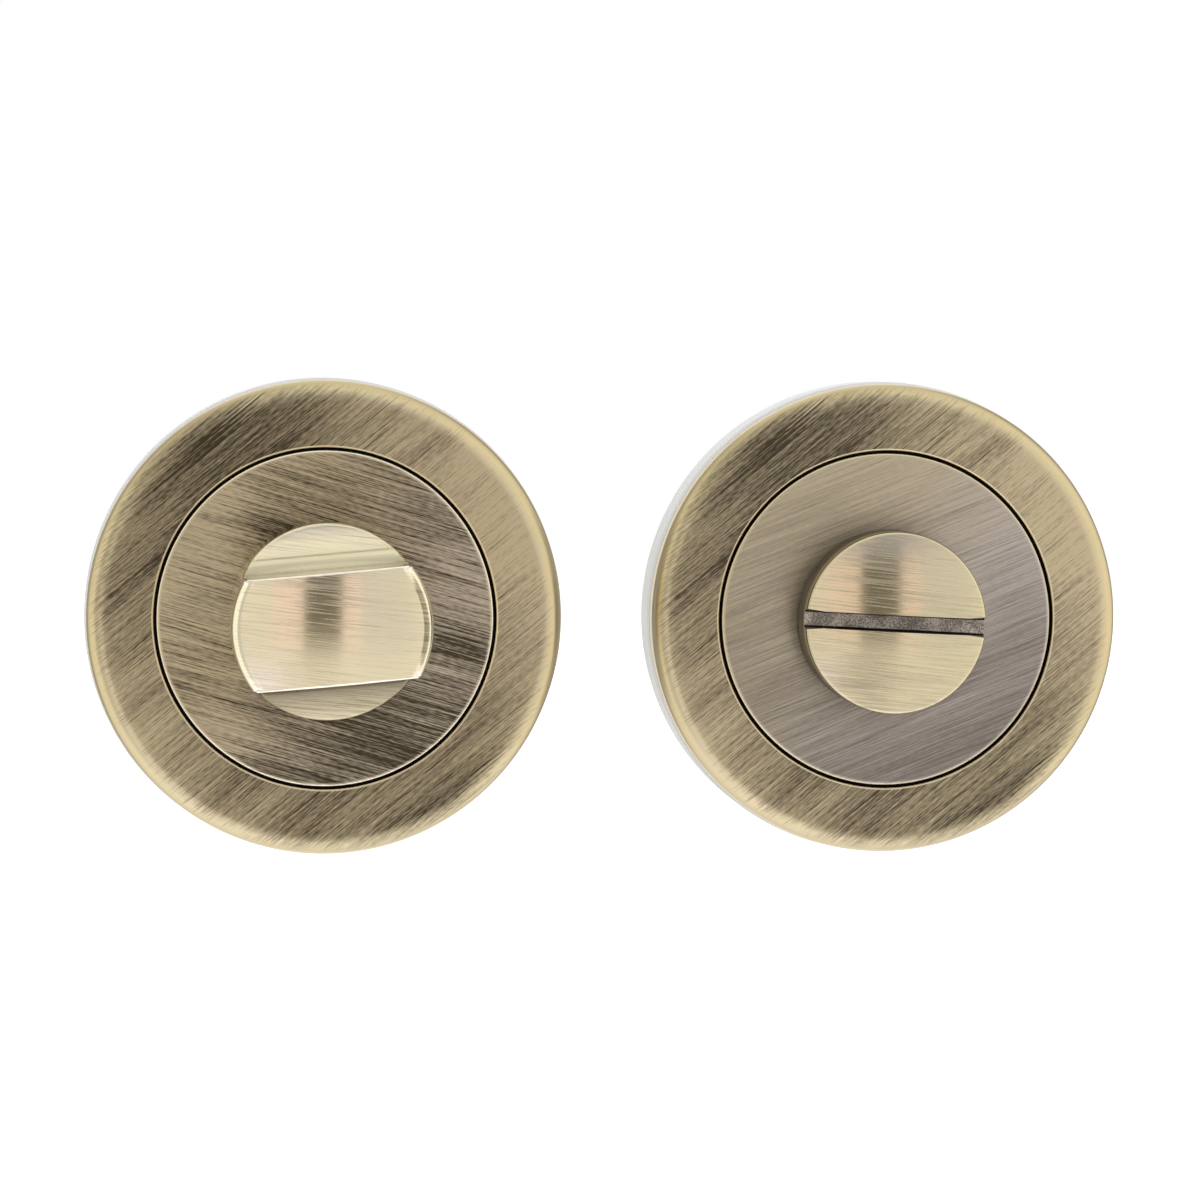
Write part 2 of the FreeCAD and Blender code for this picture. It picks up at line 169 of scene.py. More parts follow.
# each zone goes over those before it: from where it begins to where it is full, in degrees, or its two
# sides and how soft they are
studioZones = {
    "creamLeft": {"azimuth": (10, -30)},
    "creamLow": {"height": (-7, -15)},
    "lilac": {"height": (16, 27, 3), "azimuth": (-14, 14, 6)},
    "lowLeft": {"height": (-14, -19), "azimuth": (-33, -13, 4)},
    "farLeft": {"azimuth": (-29, -40)},
    "farRight": {"azimuth": (22, 36)},
    "side": {"aside": (58, 70)},
    "rear": {"aside": (122, 155, 6)},
    "zenith": {"height": (35, 60)},
    "below": {"height": (-20, -44)},
}


def addWorld():
    # what the metal sees: pale walls, and a dim upright gap behind the camera between two warm screens
    world = bpy.data.worlds.new("studio")
    bpy.context.scene.world = world
    world.use_nodes = True
    n = Nodes(world.node_tree)
    direction = n.add("TexCoord").outputs["Generated"]
    parts = n.add("SeparateXYZ", {0: direction}).outputs
    ahead = n.math("MULTIPLY", parts[1], -1.0)
    azimuth = n.math("MULTIPLY", n.math("ARCTAN2", parts[0], ahead), 180 / math.pi)
    height = n.math("MULTIPLY", n.math("ARCSINE", parts[2]), 180 / math.pi)

    def zone(value, low, high, soft=None):
        if soft is None:
            return n.step(value, low, high)
        rise = n.step(value, low - soft, low + soft)
        return n.math("MULTIPLY", rise, n.step(value, high - soft, high + soft, 1.0, 0.0))

    low, lowEnd, high, highEnd = studioGap["heights"]
    drop, faint = studioGap["faintFoot"]
    foot = n.math("MULTIPLY_ADD", n.step(height, low - drop, low), faint,
                  n.step(height, low, lowEnd, 0.0, 1 - faint))
    tall = n.math("MULTIPLY", foot, n.step(height, high, highEnd, 1.0, 0.0))
    gap = n.math("MULTIPLY", zone(azimuth, *studioGap["dark"]), tall)
    screens = n.math("MULTIPLY", zone(azimuth, *studioGap["pink"]), tall)
    angles = {"azimuth": azimuth, "height": height, "aside": n.math("ABSOLUTE", azimuth)}
    seen = studio["cream"]
    for colour, sides in studioZones.items():
        mask = 1.0
        for angle, reach in sides.items():
            mask = n.math("MULTIPLY", zone(angles[angle], *reach), mask)
        seen = n.mix(mask, seen, studio[colour])
    seen = n.mix(gap, n.mix(screens, seen, studio["pink"]), studio["dark"])
    lightPath = n.add("LightPath").outputs
    glossy = n.add("Background", {"Color": seen, "Strength": 1.0}).outputs[0]
    plain = n.add("Background", {"Color": studio["diffuse"], "Strength": studio["diffuseLevel"]}).outputs[0]
    white = n.add("Background", {"Color": (1, 1, 1, 1), "Strength": 1.0}).outputs[0]
    shader = n.add("MixShader", {0: lightPath["Is Glossy Ray"], 1: plain, 2: glossy}).outputs[0]
    bare = n.math("MAXIMUM", lightPath["Is Camera Ray"], lightPath["Is Transmission Ray"])
    shader = n.add("MixShader", {0: bare, 1: shader, 2: white}).outputs[0]
    n.add("OutputWorld", {"Surface": shader})


lampSetup = {
    "key": {"place": (-0.9, -0.9, 1.1), "size": 0.9, "power": 9.0},
    "fill": {"place": (1.2, -1.0, 0.5), "size": 1.0, "power": 5.0},
    "rear": {"place": (0.3, 1.2, 0.9), "size": 1.0, "power": 6.0},
}


def addLamps():
    for name, lamp in lampSetup.items():
        data = bpy.data.lights.new(name, "AREA")
        data.size = lamp["size"]
        data.energy = lamp["power"]
        obj = bpy.data.objects.new(name, data)
        bpy.context.scene.collection.objects.link(obj)
        obj.visible_glossy = False
        lookAt(obj, lamp["place"], view["aim"])


floorSetup = {"level": -0.1, "reach": 4.0, "colour": (0.92, 0.92, 0.92, 1), "lift": 0.45}


def addFloor():
    reach, level = floorSetup["reach"], floorSetup["level"]
    mesh = bpy.data.meshes.new("floor")
    corners = [(-reach, -reach, level), (reach, -reach, level), (reach, reach, level), (-reach, reach, level)]
    mesh.from_pydata(corners, [], [(0, 1, 2, 3)])
    floor = bpy.data.objects.new("floor", mesh)
    bpy.context.scene.collection.objects.link(floor)
    material = bpy.data.materials.new("paleFloor")
    material.use_nodes = True
    n = Nodes(material.node_tree)
    diffuse = n.add("BsdfDiffuse", {"Color": floorSetup["colour"]}).outputs[0]
    lightPath = n.add("LightPath").outputs
    glow = n.math("MULTIPLY", lightPath["Is Camera Ray"], floorSetup["lift"])
    lift = n.add("Emission", {"Color": (1, 1, 1, 1), "Strength": glow}).outputs[0]
    n.add("OutputMaterial", {"Surface": n.add("AddShader", {0: diffuse, 1: lift}).outputs[0]})
    mesh.materials.append(material)
    floor.visible_glossy = False


addCamera()
addWorld()
addLamps()
addFloor()
bpy.context.scene.view_settings.view_transform = "Standard"
print("camera, light and floor set")


# Materials

def newMaterial(name):
    material = bpy.data.materials.new(name)
    material.use_nodes = True
    return material, Nodes(material.node_tree)


def streaks(n, vector, along, across, seed, detail=2.0, roughness=0.55):
    # noise drawn out into streaks: along and across are a streak's length and width in metres
    scaled = n.add("Mapping", {"Vector": vector, "Scale": (1 / along, 1 / across, 1 / across)})
    return n.add(
        "TexNoise",
        {"Vector": scaled.outputs[0], "W": seed, "Scale": 1.0, "Detail": detail, "Roughness": roughness},
        noise_dimensions="4D",
    ).outputs["Fac"]


def alongLine(n, parts, degrees, scale=1.0):
    # how far a place lies from the axis along a line at this angle, times a scale
    turn = math.radians(degrees)
    return n.math("MULTIPLY_ADD", parts[0], math.cos(turn) * scale,
                  n.math("MULTIPLY", parts[2], math.sin(turn) * scale))


def brushFrame(n, half, degrees, wander=0.00012):
    # object position turned so that the first number runs along the brushing, with a slight wander
    position = n.add("TexCoord").outputs["Object"]
    moved = n.add("Mapping", {"Vector": position, "Location": (-centreX[half], 0, 0)}).outputs[0]
    wave = n.add("TexNoise", {"Vector": moved, "Scale": 60.0, "Detail": 1.0}).outputs["Fac"]
    drift = n.math("MULTIPLY", n.math("SUBTRACT", wave, 0.5), wander)
    parts = n.add("SeparateXYZ", {0: moved}).outputs
    u, v = alongLine(n, parts, degrees), alongLine(n, parts, degrees + 90)
    turned = n.add("CombineXYZ", {0: u, 1: n.math("ADD", v, drift)}).outputs[0]
    return moved, turned, u, v, parts


def ringFrame(n, parts):
    # position that runs round the axis, for sides that were turned on a lathe
    angle = n.math("ARCTAN2", parts[2], parts[0])
    radius = n.math("SQRT", n.math("ADD", n.math("POWER", parts[0], 2.0), n.math("POWER", parts[2], 2.0)))
    around = n.add("CombineXYZ", {0: n.math("MULTIPLY", angle, 0.02), 1: parts[1], 2: radius}).outputs[0]
    return around, radius


# length and width of each mark in metres; the hair marks' length is the finish's own
brushMarks = {
    "hairWidth": 0.00014,
    "grain": (0.0008, 0.00016),
    "cloud": (0.022, 0.0048),
    "sideHair": (0.012, 0.00025),
}


def brushedBrass(name, half, finish):
    # brass with a dark antique oxide that straight brushing has partly worn away, under clear lacquer
    material, n = newMaterial(name)
    moved, turned, u, v, parts = brushFrame(n, half, finish["degrees"])
    if "blade" in finish:
        u, v = brushFrame(n, half, finish["blade"])[2:4]
    around, radius = ringFrame(n, parts)
    level = n.math("MULTIPLY", parts[1], -1.0)
    hair = streaks(n, turned, finish["length"], brushMarks["hairWidth"], 1.3, 1.0)
    dashes = streaks(n, turned, finish["length"], brushMarks["hairWidth"], 7.7, 1.0)
    scratch = n.math("MULTIPLY_ADD", n.step(dashes, 0.42, 0.32), -0.7, n.step(dashes, 0.58, 0.68))
    grain = streaks(n, turned, *brushMarks["grain"], 4.1, 0.0)
    cloud = streaks(n, turned, *brushMarks["cloud"], finish["seed"], 0.0)
    if "scoop" in finish:
        # flat cheeks and scoops were brushed along the blade
        down = n.math("SUBTRACT", level, n.math("ABSOLUTE", v))
        outside = n.step(radius, finish["scoop"]["reach"] * mm, (finish["scoop"]["reach"] + 0.1) * mm)
        around = n.mix(outside, n.add("CombineXYZ", {0: u, 1: down}).outputs[0], around)
    sideHair = streaks(n, around, *brushMarks["sideHair"], 2.9)
    normal = n.add("TexCoord").outputs["Normal"]
    facing = n.math("ABSOLUTE", n.add("SeparateXYZ", {0: normal}).outputs[1])
    face = n.step(facing, 0.45, 0.9)
    # how much oxide is left, from the finest marks up to broad zones
    oxideAndShade = n.math("MULTIPLY_ADD", scratch, finish["scratch"], finish["oxide"])
    for layer, weight in ((hair, "hair"), (grain, "grain"), (cloud, "cloud")):
        oxideAndShade = n.math("MULTIPLY_ADD", n.math("SUBTRACT", layer, 0.5), finish[weight], oxideAndShade)
    # painted reflection: lighter towards one side and darker towards the other, and lighter along one line
    # through the middle and darker across it
    reach = finish["reach"]
    side, sideDegrees = finish["side"]
    oxideAndShade = n.math("SUBTRACT", oxideAndShade, alongLine(n, parts, sideDegrees, side / reach))
    line, lineDegrees = finish["line"]
    along = alongLine(n, parts, lineDegrees, 1 / reach)
    across = alongLine(n, parts, lineDegrees + 90, 1 / reach)
    stretch = n.math("SUBTRACT", n.math("POWER", along, 2.0), n.math("POWER", across, 2.0))
    oxideAndShade = n.math("MULTIPLY_ADD", stretch, -line, oxideAndShade)
    if "endLine" in finish:
        # a painted dark reflection along one end of the blade
        start, end, soft, amount = finish["endLine"]
        inside = n.math("MULTIPLY", n.step(radius, start * mm, (start + soft) * mm),
                        n.step(radius, (end - soft) * mm, end * mm, 1.0, 0.0))
        atEnd = n.math("MULTIPLY", inside, n.step(u, (start - 1.0) * mm, (start - 0.2) * mm))
        oxideAndShade = n.math("MULTIPLY_ADD", atEnd, amount, oxideAndShade)
    # edges are worn bright
    for start, end, amount in finish["worn"]:
        oxideAndShade = n.math("SUBTRACT", oxideAndShade, n.step(radius, start * mm, end * mm, 0.0, amount))
    # soft spots, darker above zero and lighter below zero; beside the knob one is painted shade
    for x, z, size, amount in finish["spots"]:
        offset = n.add("VectorMath", {0: moved, 1: (x * mm, 0, z * mm)}, operation="SUBTRACT").outputs[0]
        flat = n.add("VectorMath", {0: offset, 1: (1, 0, 1)}, operation="MULTIPLY").outputs[0]
        away = n.add("VectorMath", {0: flat}, operation="LENGTH").outputs["Value"]
        oxideAndShade = n.math("ADD", oxideAndShade, n.step(away, size * mm, 0.0, 0.0, amount))
    oxideAndShade = n.math("MINIMUM", oxideAndShade, 1.0, clamp=True)
    sideGrime = n.math("MULTIPLY_ADD", n.math("SUBTRACT", sideHair, 0.5), finish["sideHair"],
                       finish["sideOxide"], clamp=True)
    left = n.add("Mix", {0: face, 2: sideGrime, 3: oxideAndShade}, data_type="FLOAT").outputs[0]
    metal = 1.0
    warm = n.mix(n.step(cloud, 0.4, 0.6), finish["brass"], finish["warmBrass"])
    if "tint" in finish:
        # the colour changes to another hue across the disc, along one direction
        tintDegrees, start, end, tint = finish["tint"]
        warm = n.mix(n.step(alongLine(n, parts, tintDegrees, 1 / reach), start, end), warm, tint)
    warm = n.mix(face, finish["sideBrass"], warm)
    if "scoop" in finish:
        # the scoops beside the blade are paler and duller
        scoop = finish["scoop"]
        start, foot = scoop["start"] * mm, scoop["floor"] * mm
        inside = n.math("MULTIPLY", n.step(n.math("ABSOLUTE", v), start, start + 0.1 * mm),
                        n.step(level, foot - 0.2 * mm, foot + 0.2 * mm))
        inside = n.math("MULTIPLY", inside, n.math("SUBTRACT", 1.0, n.math("MAXIMUM", face, outside)))
        warm = n.mix(inside, warm, scoop["brass"])
        # the upper one is paler beyond a line, a painted highlight, with a thin darker line where it begins
        line, width, amount = scoop["line"]
        above = n.math("MULTIPLY", n.step(v, line * mm, (line + 0.6) * mm), n.math("MAXIMUM", face, inside))
        warm = n.mix(above, warm, scoop["pale"])
        ledge = n.math("MULTIPLY", n.step(v, (line - width) * mm, line * mm),
                       n.step(v, line * mm, (line + width) * mm, amount, 0.0))
        left = n.math("MULTIPLY_ADD", ledge, inside, left, clamp=True)
        metal = n.math("MULTIPLY_ADD", inside, scoop["metal"] - 1.0, 1.0)
        # painted highlight: the blade's rounded edges are near white along its long sides and cream at its
        # ends
        edge = n.math("MULTIPLY", n.step(facing, 0.25, 0.5), n.step(facing, 0.93, 0.97, 1.0, 0.0))
        edge = n.math("MULTIPLY", edge, n.step(level, scoop["top"] * mm, (scoop["top"] + 0.5) * mm))
        straight = n.step(n.math("ABSOLUTE", v), start - 0.7 * mm, start - 0.4 * mm)
        warm = n.mix(edge, warm, n.mix(straight, scoop["end"], scoop["edge"]))
    if "hollow" in finish:
        # painted shade in the lower scoop, most of it at the blade's root and at the rim
        deep = n.step(level, finish["hollow"]["level"] * mm, (finish["hollow"]["level"] - 1.5) * mm)
        near = 0.0
        for start, end, amount in finish["hollow"]["reach"]:
            near = n.math("ADD", n.step(v, start * mm, end * mm, 0.0, amount), near)
        left = n.math("MULTIPLY_ADD", near, deep, left, clamp=True)
        metal = n.math("MULTIPLY_ADD", near, deep, metal, clamp=True)
    colour = n.mix(left, warm, finish["oxideColour"])
    # painted highlight: a thin bright line of colour at these radii, on the rounded edges of the disc and of
    # the ring's bore
    for start, end, bright in finish["rims"]:
        colour = n.mix(n.step(radius, start * mm, end * mm), colour, bright)
    marks = n.add("Mix", {0: face, 2: sideHair, 3: hair}, data_type="FLOAT").outputs[0]
    rough = n.math("MULTIPLY_ADD", n.math("SUBTRACT", marks, 0.5), 0.12, finish["rough"])
    rough = n.math("MULTIPLY_ADD", left, 0.08, rough)
    if finish["scuff"]:
        # rougher hairlines, which show in a dim reflection
        rough = n.math("MULTIPLY_ADD", n.step(marks, 0.5, 0.64), finish["scuff"], rough)
    height = n.math("MULTIPLY_ADD", scratch, -0.25, hair)
    height = n.add("Mix", {0: face, 2: sideHair, 3: height}, data_type="FLOAT").outputs[0]
    bump = n.add("Bump", {"Strength": finish["bump"], "Distance": 0.00003, "Height": height}).outputs[0]
    if "lean" in finish:
        # a crown that leans a little to one side
        lean = n.add("VectorTransform", {"Vector": finish["lean"]}, vector_type="VECTOR",
                     convert_from="OBJECT", convert_to="WORLD").outputs[0]
        leaning = n.add("VectorMath", {0: n.add("NewGeometry").outputs["Normal"], 1: lean}, operation="ADD")
        leaning = n.add("VectorMath", {0: leaning.outputs[0]}, operation="NORMALIZE").outputs[0]
        n.tree.links.new(leaning, bump.node.inputs["Normal"])
    square = math.radians(finish["degrees"] + 90)
    tangent = n.add(
        "VectorTransform",
        {"Vector": (math.cos(square), 0, math.sin(square))},
        vector_type="VECTOR", convert_from="OBJECT", convert_to="WORLD",
    ).outputs[0]
    shader = n.add("BsdfPrincipled", {
        "Base Color": colour, "Metallic": metal, "Roughness": rough, "Anisotropic": finish["anisotropic"],
        "Coat Weight": finish["lacquer"], "Coat Roughness": 0.12, "Normal": bump, "Tangent": tangent,
    })
    n.add("OutputMaterial", {"Surface": shader.outputs[0]})
    return material


brassFinish = {
    "degrees": 39.5, "length": 0.007, "seed": 3.0, "reach": 0.022,
    "brass": (0.62, 0.54, 0.36, 1), "warmBrass": (0.64, 0.545, 0.37, 1), "sideBrass": (0.63, 0.54, 0.35, 1),
    "oxideColour": (0.06, 0.048, 0.03, 1),
    "oxide": 0.512, "sideOxide": 0.2, "sideHair": 0.5,
    "hair": 1.4, "scratch": 0.27, "grain": 0.65, "cloud": 0.75,
    "side": (0.178, 2.0), "line": (0.304, 30.2), "worn": ((23.2, 25.6, 0.5), (19.0, 18.8, 0.4)),
    "spots": (), "rims": ((18.92, 18.86, (0.85, 0.75, 0.55, 1)),),
    "rough": 0.32, "bump": 0.33, "scuff": 0.0, "anisotropic": 0.6, "lacquer": 0.3,
}


def finishLike(**changes):
    return {**brassFinish, **changes}


discEdge = {"worn": ((17.9, 18.15, 0.6),), "bump": 0.5}
ringBrass = {half: brushedBrass("ringBrass" + half.title(), half, brassFinish) for half in centreX}
discBrass = {
    "turn": brushedBrass("discBrassTurn", "turn", finishLike(
        degrees=-16, length=0.009, seed=5.2, reach=0.0148, oxide=0.5, side=(0.233, 138.7), line=(0.07, -8),
        hair=2.0, scratch=0.35, grain=0.75, cloud=0.95,
        # the first spot is painted shade: the knob's shadow and reflection on the disc, up and left of it
        spots=((-6.2, 9.6, 6.5, 0.32), (10.8, 9.0, 5.5, 0.12), (-10.6, -10.6, 8.0, -0.26),
               (-15.0, 1.0, 6.0, 0.2), (2.0, -15.0, 6.0, 0.1), (15.0, 0.0, 5.0, 0.14)),
        rims=((18.2, 18.26, (0.97, 0.93, 0.87, 1)),), tint=(332, -0.8, 0.8, (0.62, 0.545, 0.43, 1)),
        **discEdge)),
    "release": brushedBrass("discBrassRelease", "release", finishLike(
        degrees=22, length=0.009, seed=6.4, reach=0.0148, oxide=0.48,
        hair=1.2, scratch=0.22, grain=0.3, cloud=0.45,
        side=(0.28, 90), line=(0.06, 45), spots=((15.0, 0.0, 6.5, 0.2),), **discEdge,
        rims=((18.2, 18.26, (0.76, 0.68, 0.52, 1)),), tint=(322, -0.8, 0.8, (0.54, 0.5, 0.475, 1)),
        brass=(0.545, 0.49, 0.355, 1), warmBrass=(0.55, 0.49, 0.35, 1), oxideColour=(0.2, 0.175, 0.155, 1))),
}
polished = {"side": (0.0, 0.0), "line": (0.0, 0.0), "reach": 0.01, "rims": (), "hair": 0.8, "scratch": 0.12,
            "grain": 0.15, "cloud": 0.1, "sideHair": 0.3, "rough": 0.15, "bump": 0.16, "scuff": 0.14,
            "anisotropic": 0.8, "lacquer": 0.6}
knobBrass = brushedBrass("knobBrass", "turn", finishLike(
    degrees=-6, blade=restTurn["turn"], oxide=0.03, sideOxide=0.08, worn=(),
    brass=(0.77, 0.69, 0.5, 1), warmBrass=(0.76, 0.68, 0.5, 1),
    sideBrass=(0.72, 0.63, 0.43, 1), oxideColour=(0.11, 0.085, 0.045, 1),
    scoop={"start": 6.0, "reach": 10.5, "floor": 14.9, "top": 21.0, "metal": 0.3,
           "brass": (0.76, 0.71, 0.51, 1), "pale": (0.75, 0.695, 0.57, 1), "line": (7.4, 0.2, 0.75),
           "edge": (0.92, 0.89, 0.84, 1), "end": (0.86, 0.81, 0.67, 1)},
    endLine=(9.5, 10.25, 0.15, 0.7),
    hollow={"level": 20.5, "reach": ((-11.8, -8.8, 0.55), (-9.5, -5.9, 0.35), (-5.9, -5.85, -0.9))},
    **polished))
buttonBrass = brushedBrass("buttonBrass", "release", finishLike(
    degrees=-6, oxide=0.07, sideOxide=1.0, worn=((9.4, 9.9, 0.1),), lean=(-0.05, 0.0, 0.0),
    brass=(0.7, 0.62, 0.43, 1), warmBrass=(0.68, 0.6, 0.42, 1), spots=((-3.5, -7.5, 5.5, 0.17),),
    **{**polished, "side": (0.08, 90)}))


def darkMetal(name, colour, specks, rough, grainSize, wallShade=None, worn=None):
    # unbrushed metal: dark, rough and granular; a painted shadow blackens it beside a slot's walls, and above
    # a given level it is paler, the dark below standing partly for painted shadow at its foot
    material, n = newMaterial(name)
    position = n.add("TexCoord").outputs["Object"]
    grain = n.add("TexNoise", {"Vector": position, "Scale": 1 / grainSize, "Detail": 2.0}).outputs["Fac"]
    patches = n.add("TexNoise", {"Vector": position, "Scale": 400.0, "Detail": 1.0}).outputs["Fac"]
    mixed = n.math("MULTIPLY_ADD", n.math("SUBTRACT", patches, 0.5), 0.6, grain)
    seen = n.mix(n.step(mixed, 0.38, 0.68), colour, specks)
    # painted shadow: near black beside the slot's walls
    if wallShade:
        across = n.math("ABSOLUTE", brushFrame(n, wallShade["half"], wallShade["degrees"])[3])
        seen = n.mix(n.step(across, wallShade["start"] * mm, wallShade["end"] * mm), seen, (0.006, 0.005, 0.004, 1))
    if worn:
        level = n.math("MULTIPLY", n.add("SeparateXYZ", {0: position}).outputs[1], -1.0)
        seen = n.mix(n.step(level, worn["start"] * mm, worn["end"] * mm), seen, worn["colour"])
    bump = n.add("Bump", {"Strength": 0.6, "Distance": 0.00005, "Height": grain}).outputs[0]
    shader = n.add("BsdfPrincipled", {
        "Base Color": seen, "Metallic": 0.7, "Roughness": rough, "Normal": bump,
    })
    n.add("OutputMaterial", {"Surface": shader.outputs[0]})
    return material


slotFloor = darkMetal("slotFloor", (0.2, 0.175, 0.15, 1), (0.62, 0.56, 0.5, 1), 0.5, 0.00014,
                      {"half": "release", "degrees": restTurn["release"], "start": 0.66, "end": 0.8})
# the button's side: dark oxide, and below the given level also painted shadow at its foot beside the disc
sideMetal = darkMetal("sideMetal", (0.05, 0.038, 0.018, 1), (0.13, 0.1, 0.055, 1), 0.42, 0.0003,
                      worn={"start": 13.4, "end": 15.6, "colour": (0.42, 0.35, 0.21, 1)})
# painted shade: near black on the walls in the gap between ring and disc and the faces hidden behind them
gapShadeMetal = darkMetal("gapShadeMetal", (0.012, 0.01, 0.008, 1), (0.03, 0.026, 0.02, 1), 0.75, 0.0003)


def mouldedNylon(name, colour, rough):
    # moulded plastic: faint mottling, flow marks and a fine grain
    material, n = newMaterial(name)
    position = n.add("TexCoord").outputs["Object"]
    mottle = n.add("TexNoise", {"Vector": position, "Scale": 260.0, "Detail": 3.0}).outputs["Fac"]
    grain = n.add("TexNoise", {"Vector": position, "Scale": 4200.0, "Detail": 2.0}).outputs["Fac"]
    flow = n.add("TexNoise", {"Vector": position, "Scale": 55.0, "Detail": 1.0, "Distortion": 0.8})
    flow = flow.outputs["Fac"]
    shade = n.math("MULTIPLY_ADD", n.math("SUBTRACT", mottle, 0.5), 0.06, 1.0)
    shade = n.math("MULTIPLY_ADD", n.math("SUBTRACT", flow, 0.5), 0.05, shade)
    tint = n.add("CombineColor", {0: shade, 1: shade, 2: shade}).outputs[0]
    tinted = n.mix(1.0, colour, tint, "MULTIPLY")
    roughness = n.math("MULTIPLY_ADD", n.math("SUBTRACT", mottle, 0.5), 0.2, rough)
    bump = n.add("Bump", {"Strength": 0.12, "Distance": 0.00004, "Height": grain}).outputs[0]
    shader = n.add("BsdfPrincipled", {
        "Base Color": tinted, "Roughness": roughness, "Normal": bump, "IOR": 1.53,
    })
    n.add("OutputMaterial", {"Surface": shader.outputs[0]})
    return material


def platedMetal(name, bright, dull, rough, grainSize, streaky=1.0):
    # plated or cast metal: cloudy patches, a crystalline grain and small handling marks
    material, n = newMaterial(name)
    position = n.add("TexCoord").outputs["Object"]
    cloud = n.add("TexNoise", {"Vector": position, "Scale": 160.0, "Detail": 4.0}).outputs["Fac"]
    stretched = n.add("Mapping", {"Vector": position, "Scale": (1, 1 / streaky, 1)}).outputs[0]
    grain = n.add("TexNoise", {"Vector": stretched, "Scale": 1 / grainSize, "Detail": 3.0}).outputs["Fac"]
    flakes = n.add("TexVoronoi", {"Vector": position, "Scale": 0.5 / grainSize}).outputs["Distance"]
    patches = n.step(cloud, 0.35, 0.65)
    colour = n.mix(patches, bright, dull)
    roughness = n.math("MULTIPLY_ADD", n.math("SUBTRACT", grain, 0.5), 0.25, rough)
    height = n.math("MULTIPLY_ADD", flakes, 0.5, grain)
    bump = n.add("Bump", {"Strength": 0.3, "Distance": 0.00003, "Height": height}).outputs[0]
    shader = n.add("BsdfPrincipled", {
        "Base Color": colour, "Metallic": 1.0, "Roughness": roughness, "Normal": bump,
    })
    n.add("OutputMaterial", {"Surface": shader.outputs[0]})
    return material


materials = {
    "white_nylon": mouldedNylon("whiteNylon", (0.68, 0.695, 0.71, 1), 0.42),
    "bush_nylon": mouldedNylon("bushNylon", (0.72, 0.7, 0.62, 1), 0.4),
    "die_cast_zinc": platedMetal("dieCastZinc", (0.5, 0.51, 0.53, 1), (0.36, 0.37, 0.39, 1), 0.48, 0.0006),
    "spring_steel": platedMetal("springSteel", (0.24, 0.24, 0.26, 1), (0.14, 0.14, 0.16, 1), 0.36, 0.0004),
    "plated_steel": platedMetal(
        "platedSteel", (0.52, 0.53, 0.56, 1), (0.38, 0.4, 0.43, 1), 0.26, 0.0004, 6.0),
    "passivated_steel": platedMetal(
        "passivatedSteel", (0.66, 0.52, 0.25, 1), (0.5, 0.42, 0.27, 1), 0.28, 0.0004, 4.0),
}
print("materials made")


# Surfaces

def outline(corners, arcSteps=8):
    # profile through (radius, level, rounding) corners: above zero an arc of that radius, below zero a bevel
    points = []
    count = len(corners)
    for i, (radius, level, rounding) in enumerate(corners):
        here = np.array([radius, level], float)
        if rounding == 0 or i in (0, count - 1):
            points.append(here[None])
            continue
        back = np.array(corners[i - 1][:2]) - here
        ahead = np.array(corners[i + 1][:2]) - here
        back, ahead = back / np.linalg.norm(back), ahead / np.linalg.norm(ahead)
        if rounding < 0:
            points.append(np.array([here - back * rounding, here - ahead * rounding]))
            continue
        half = math.acos(np.clip(back @ ahead, -1, 1)) / 2
        middle = (back + ahead) / np.linalg.norm(back + ahead)
        centre = here + middle * rounding / math.sin(half)
        start = here + back * rounding / math.tan(half) - centre
        end = here + ahead * rounding / math.tan(half) - centre
        turn = math.atan2(start[0] * end[1] - start[1] * end[0], start @ end)
        angles = np.linspace(0, turn, arcSteps + 1)
        cosine, sine = np.cos(angles), np.sin(angles)
        x = start[0] * cosine - start[1] * sine
        y = start[0] * sine + start[1] * cosine
        points.append(centre + np.stack([x, y], 1))
    return np.concatenate(points)


def onDoor(half, x, y, w, degrees=0.0):
    # millimetres round a half's axis, turned by its angle at rest, to metres on the door
    angle = math.radians(degrees)
    right = x * math.cos(angle) - y * math.sin(angle)
    up = x * math.sin(angle) + y * math.cos(angle)
    return np.stack([centreX[half] + right * mm, -w * mm, up * mm], -1)


def finishPiece(name, body, material, replaced, vertices, faces, sharpDegrees=28, choice=None,
                drill=None):
    # choice gives each face's place in a list of materials, when there are several
    mesh = bpy.data.meshes.new(name)
    mesh.from_pydata(vertices.reshape(-1, 3).tolist(), [], faces)
    if choice is not None:
        mesh.polygons.foreach_set("material_index", choice)
    obj = bpy.data.objects.new(name, mesh)
    bpy.context.scene.collection.objects.link(obj)
    settle(obj, body, material, replaced, sharpDegrees, drill)


def drilled(obj, drill):
    # take a small closed solid away from a piece, and keep what is left as its mesh
    mesh = bpy.data.meshes.new("drill")
    mesh.from_pydata(drill[0].tolist(), [], drill[1])
    cutter = bpy.data.objects.new("drill", mesh)
    bpy.context.scene.collection.objects.link(cutter)
    work = bmesh.new()
    work.from_mesh(mesh)
    bmesh.ops.recalc_face_normals(work, faces=work.faces)
    work.to_mesh(mesh)
    work.free()
    cut = obj.modifiers.new("drill", "BOOLEAN")
    cut.object = cutter
    cut.solver = "EXACT"
    left = bpy.data.meshes.new_from_object(obj.evaluated_get(bpy.context.evaluated_depsgraph_get()))
    whole = obj.data
    obj.modifiers.clear()
    obj.data = left
    bpy.data.objects.remove(cutter)
    for old in (mesh, whole):
        bpy.data.meshes.remove(old)


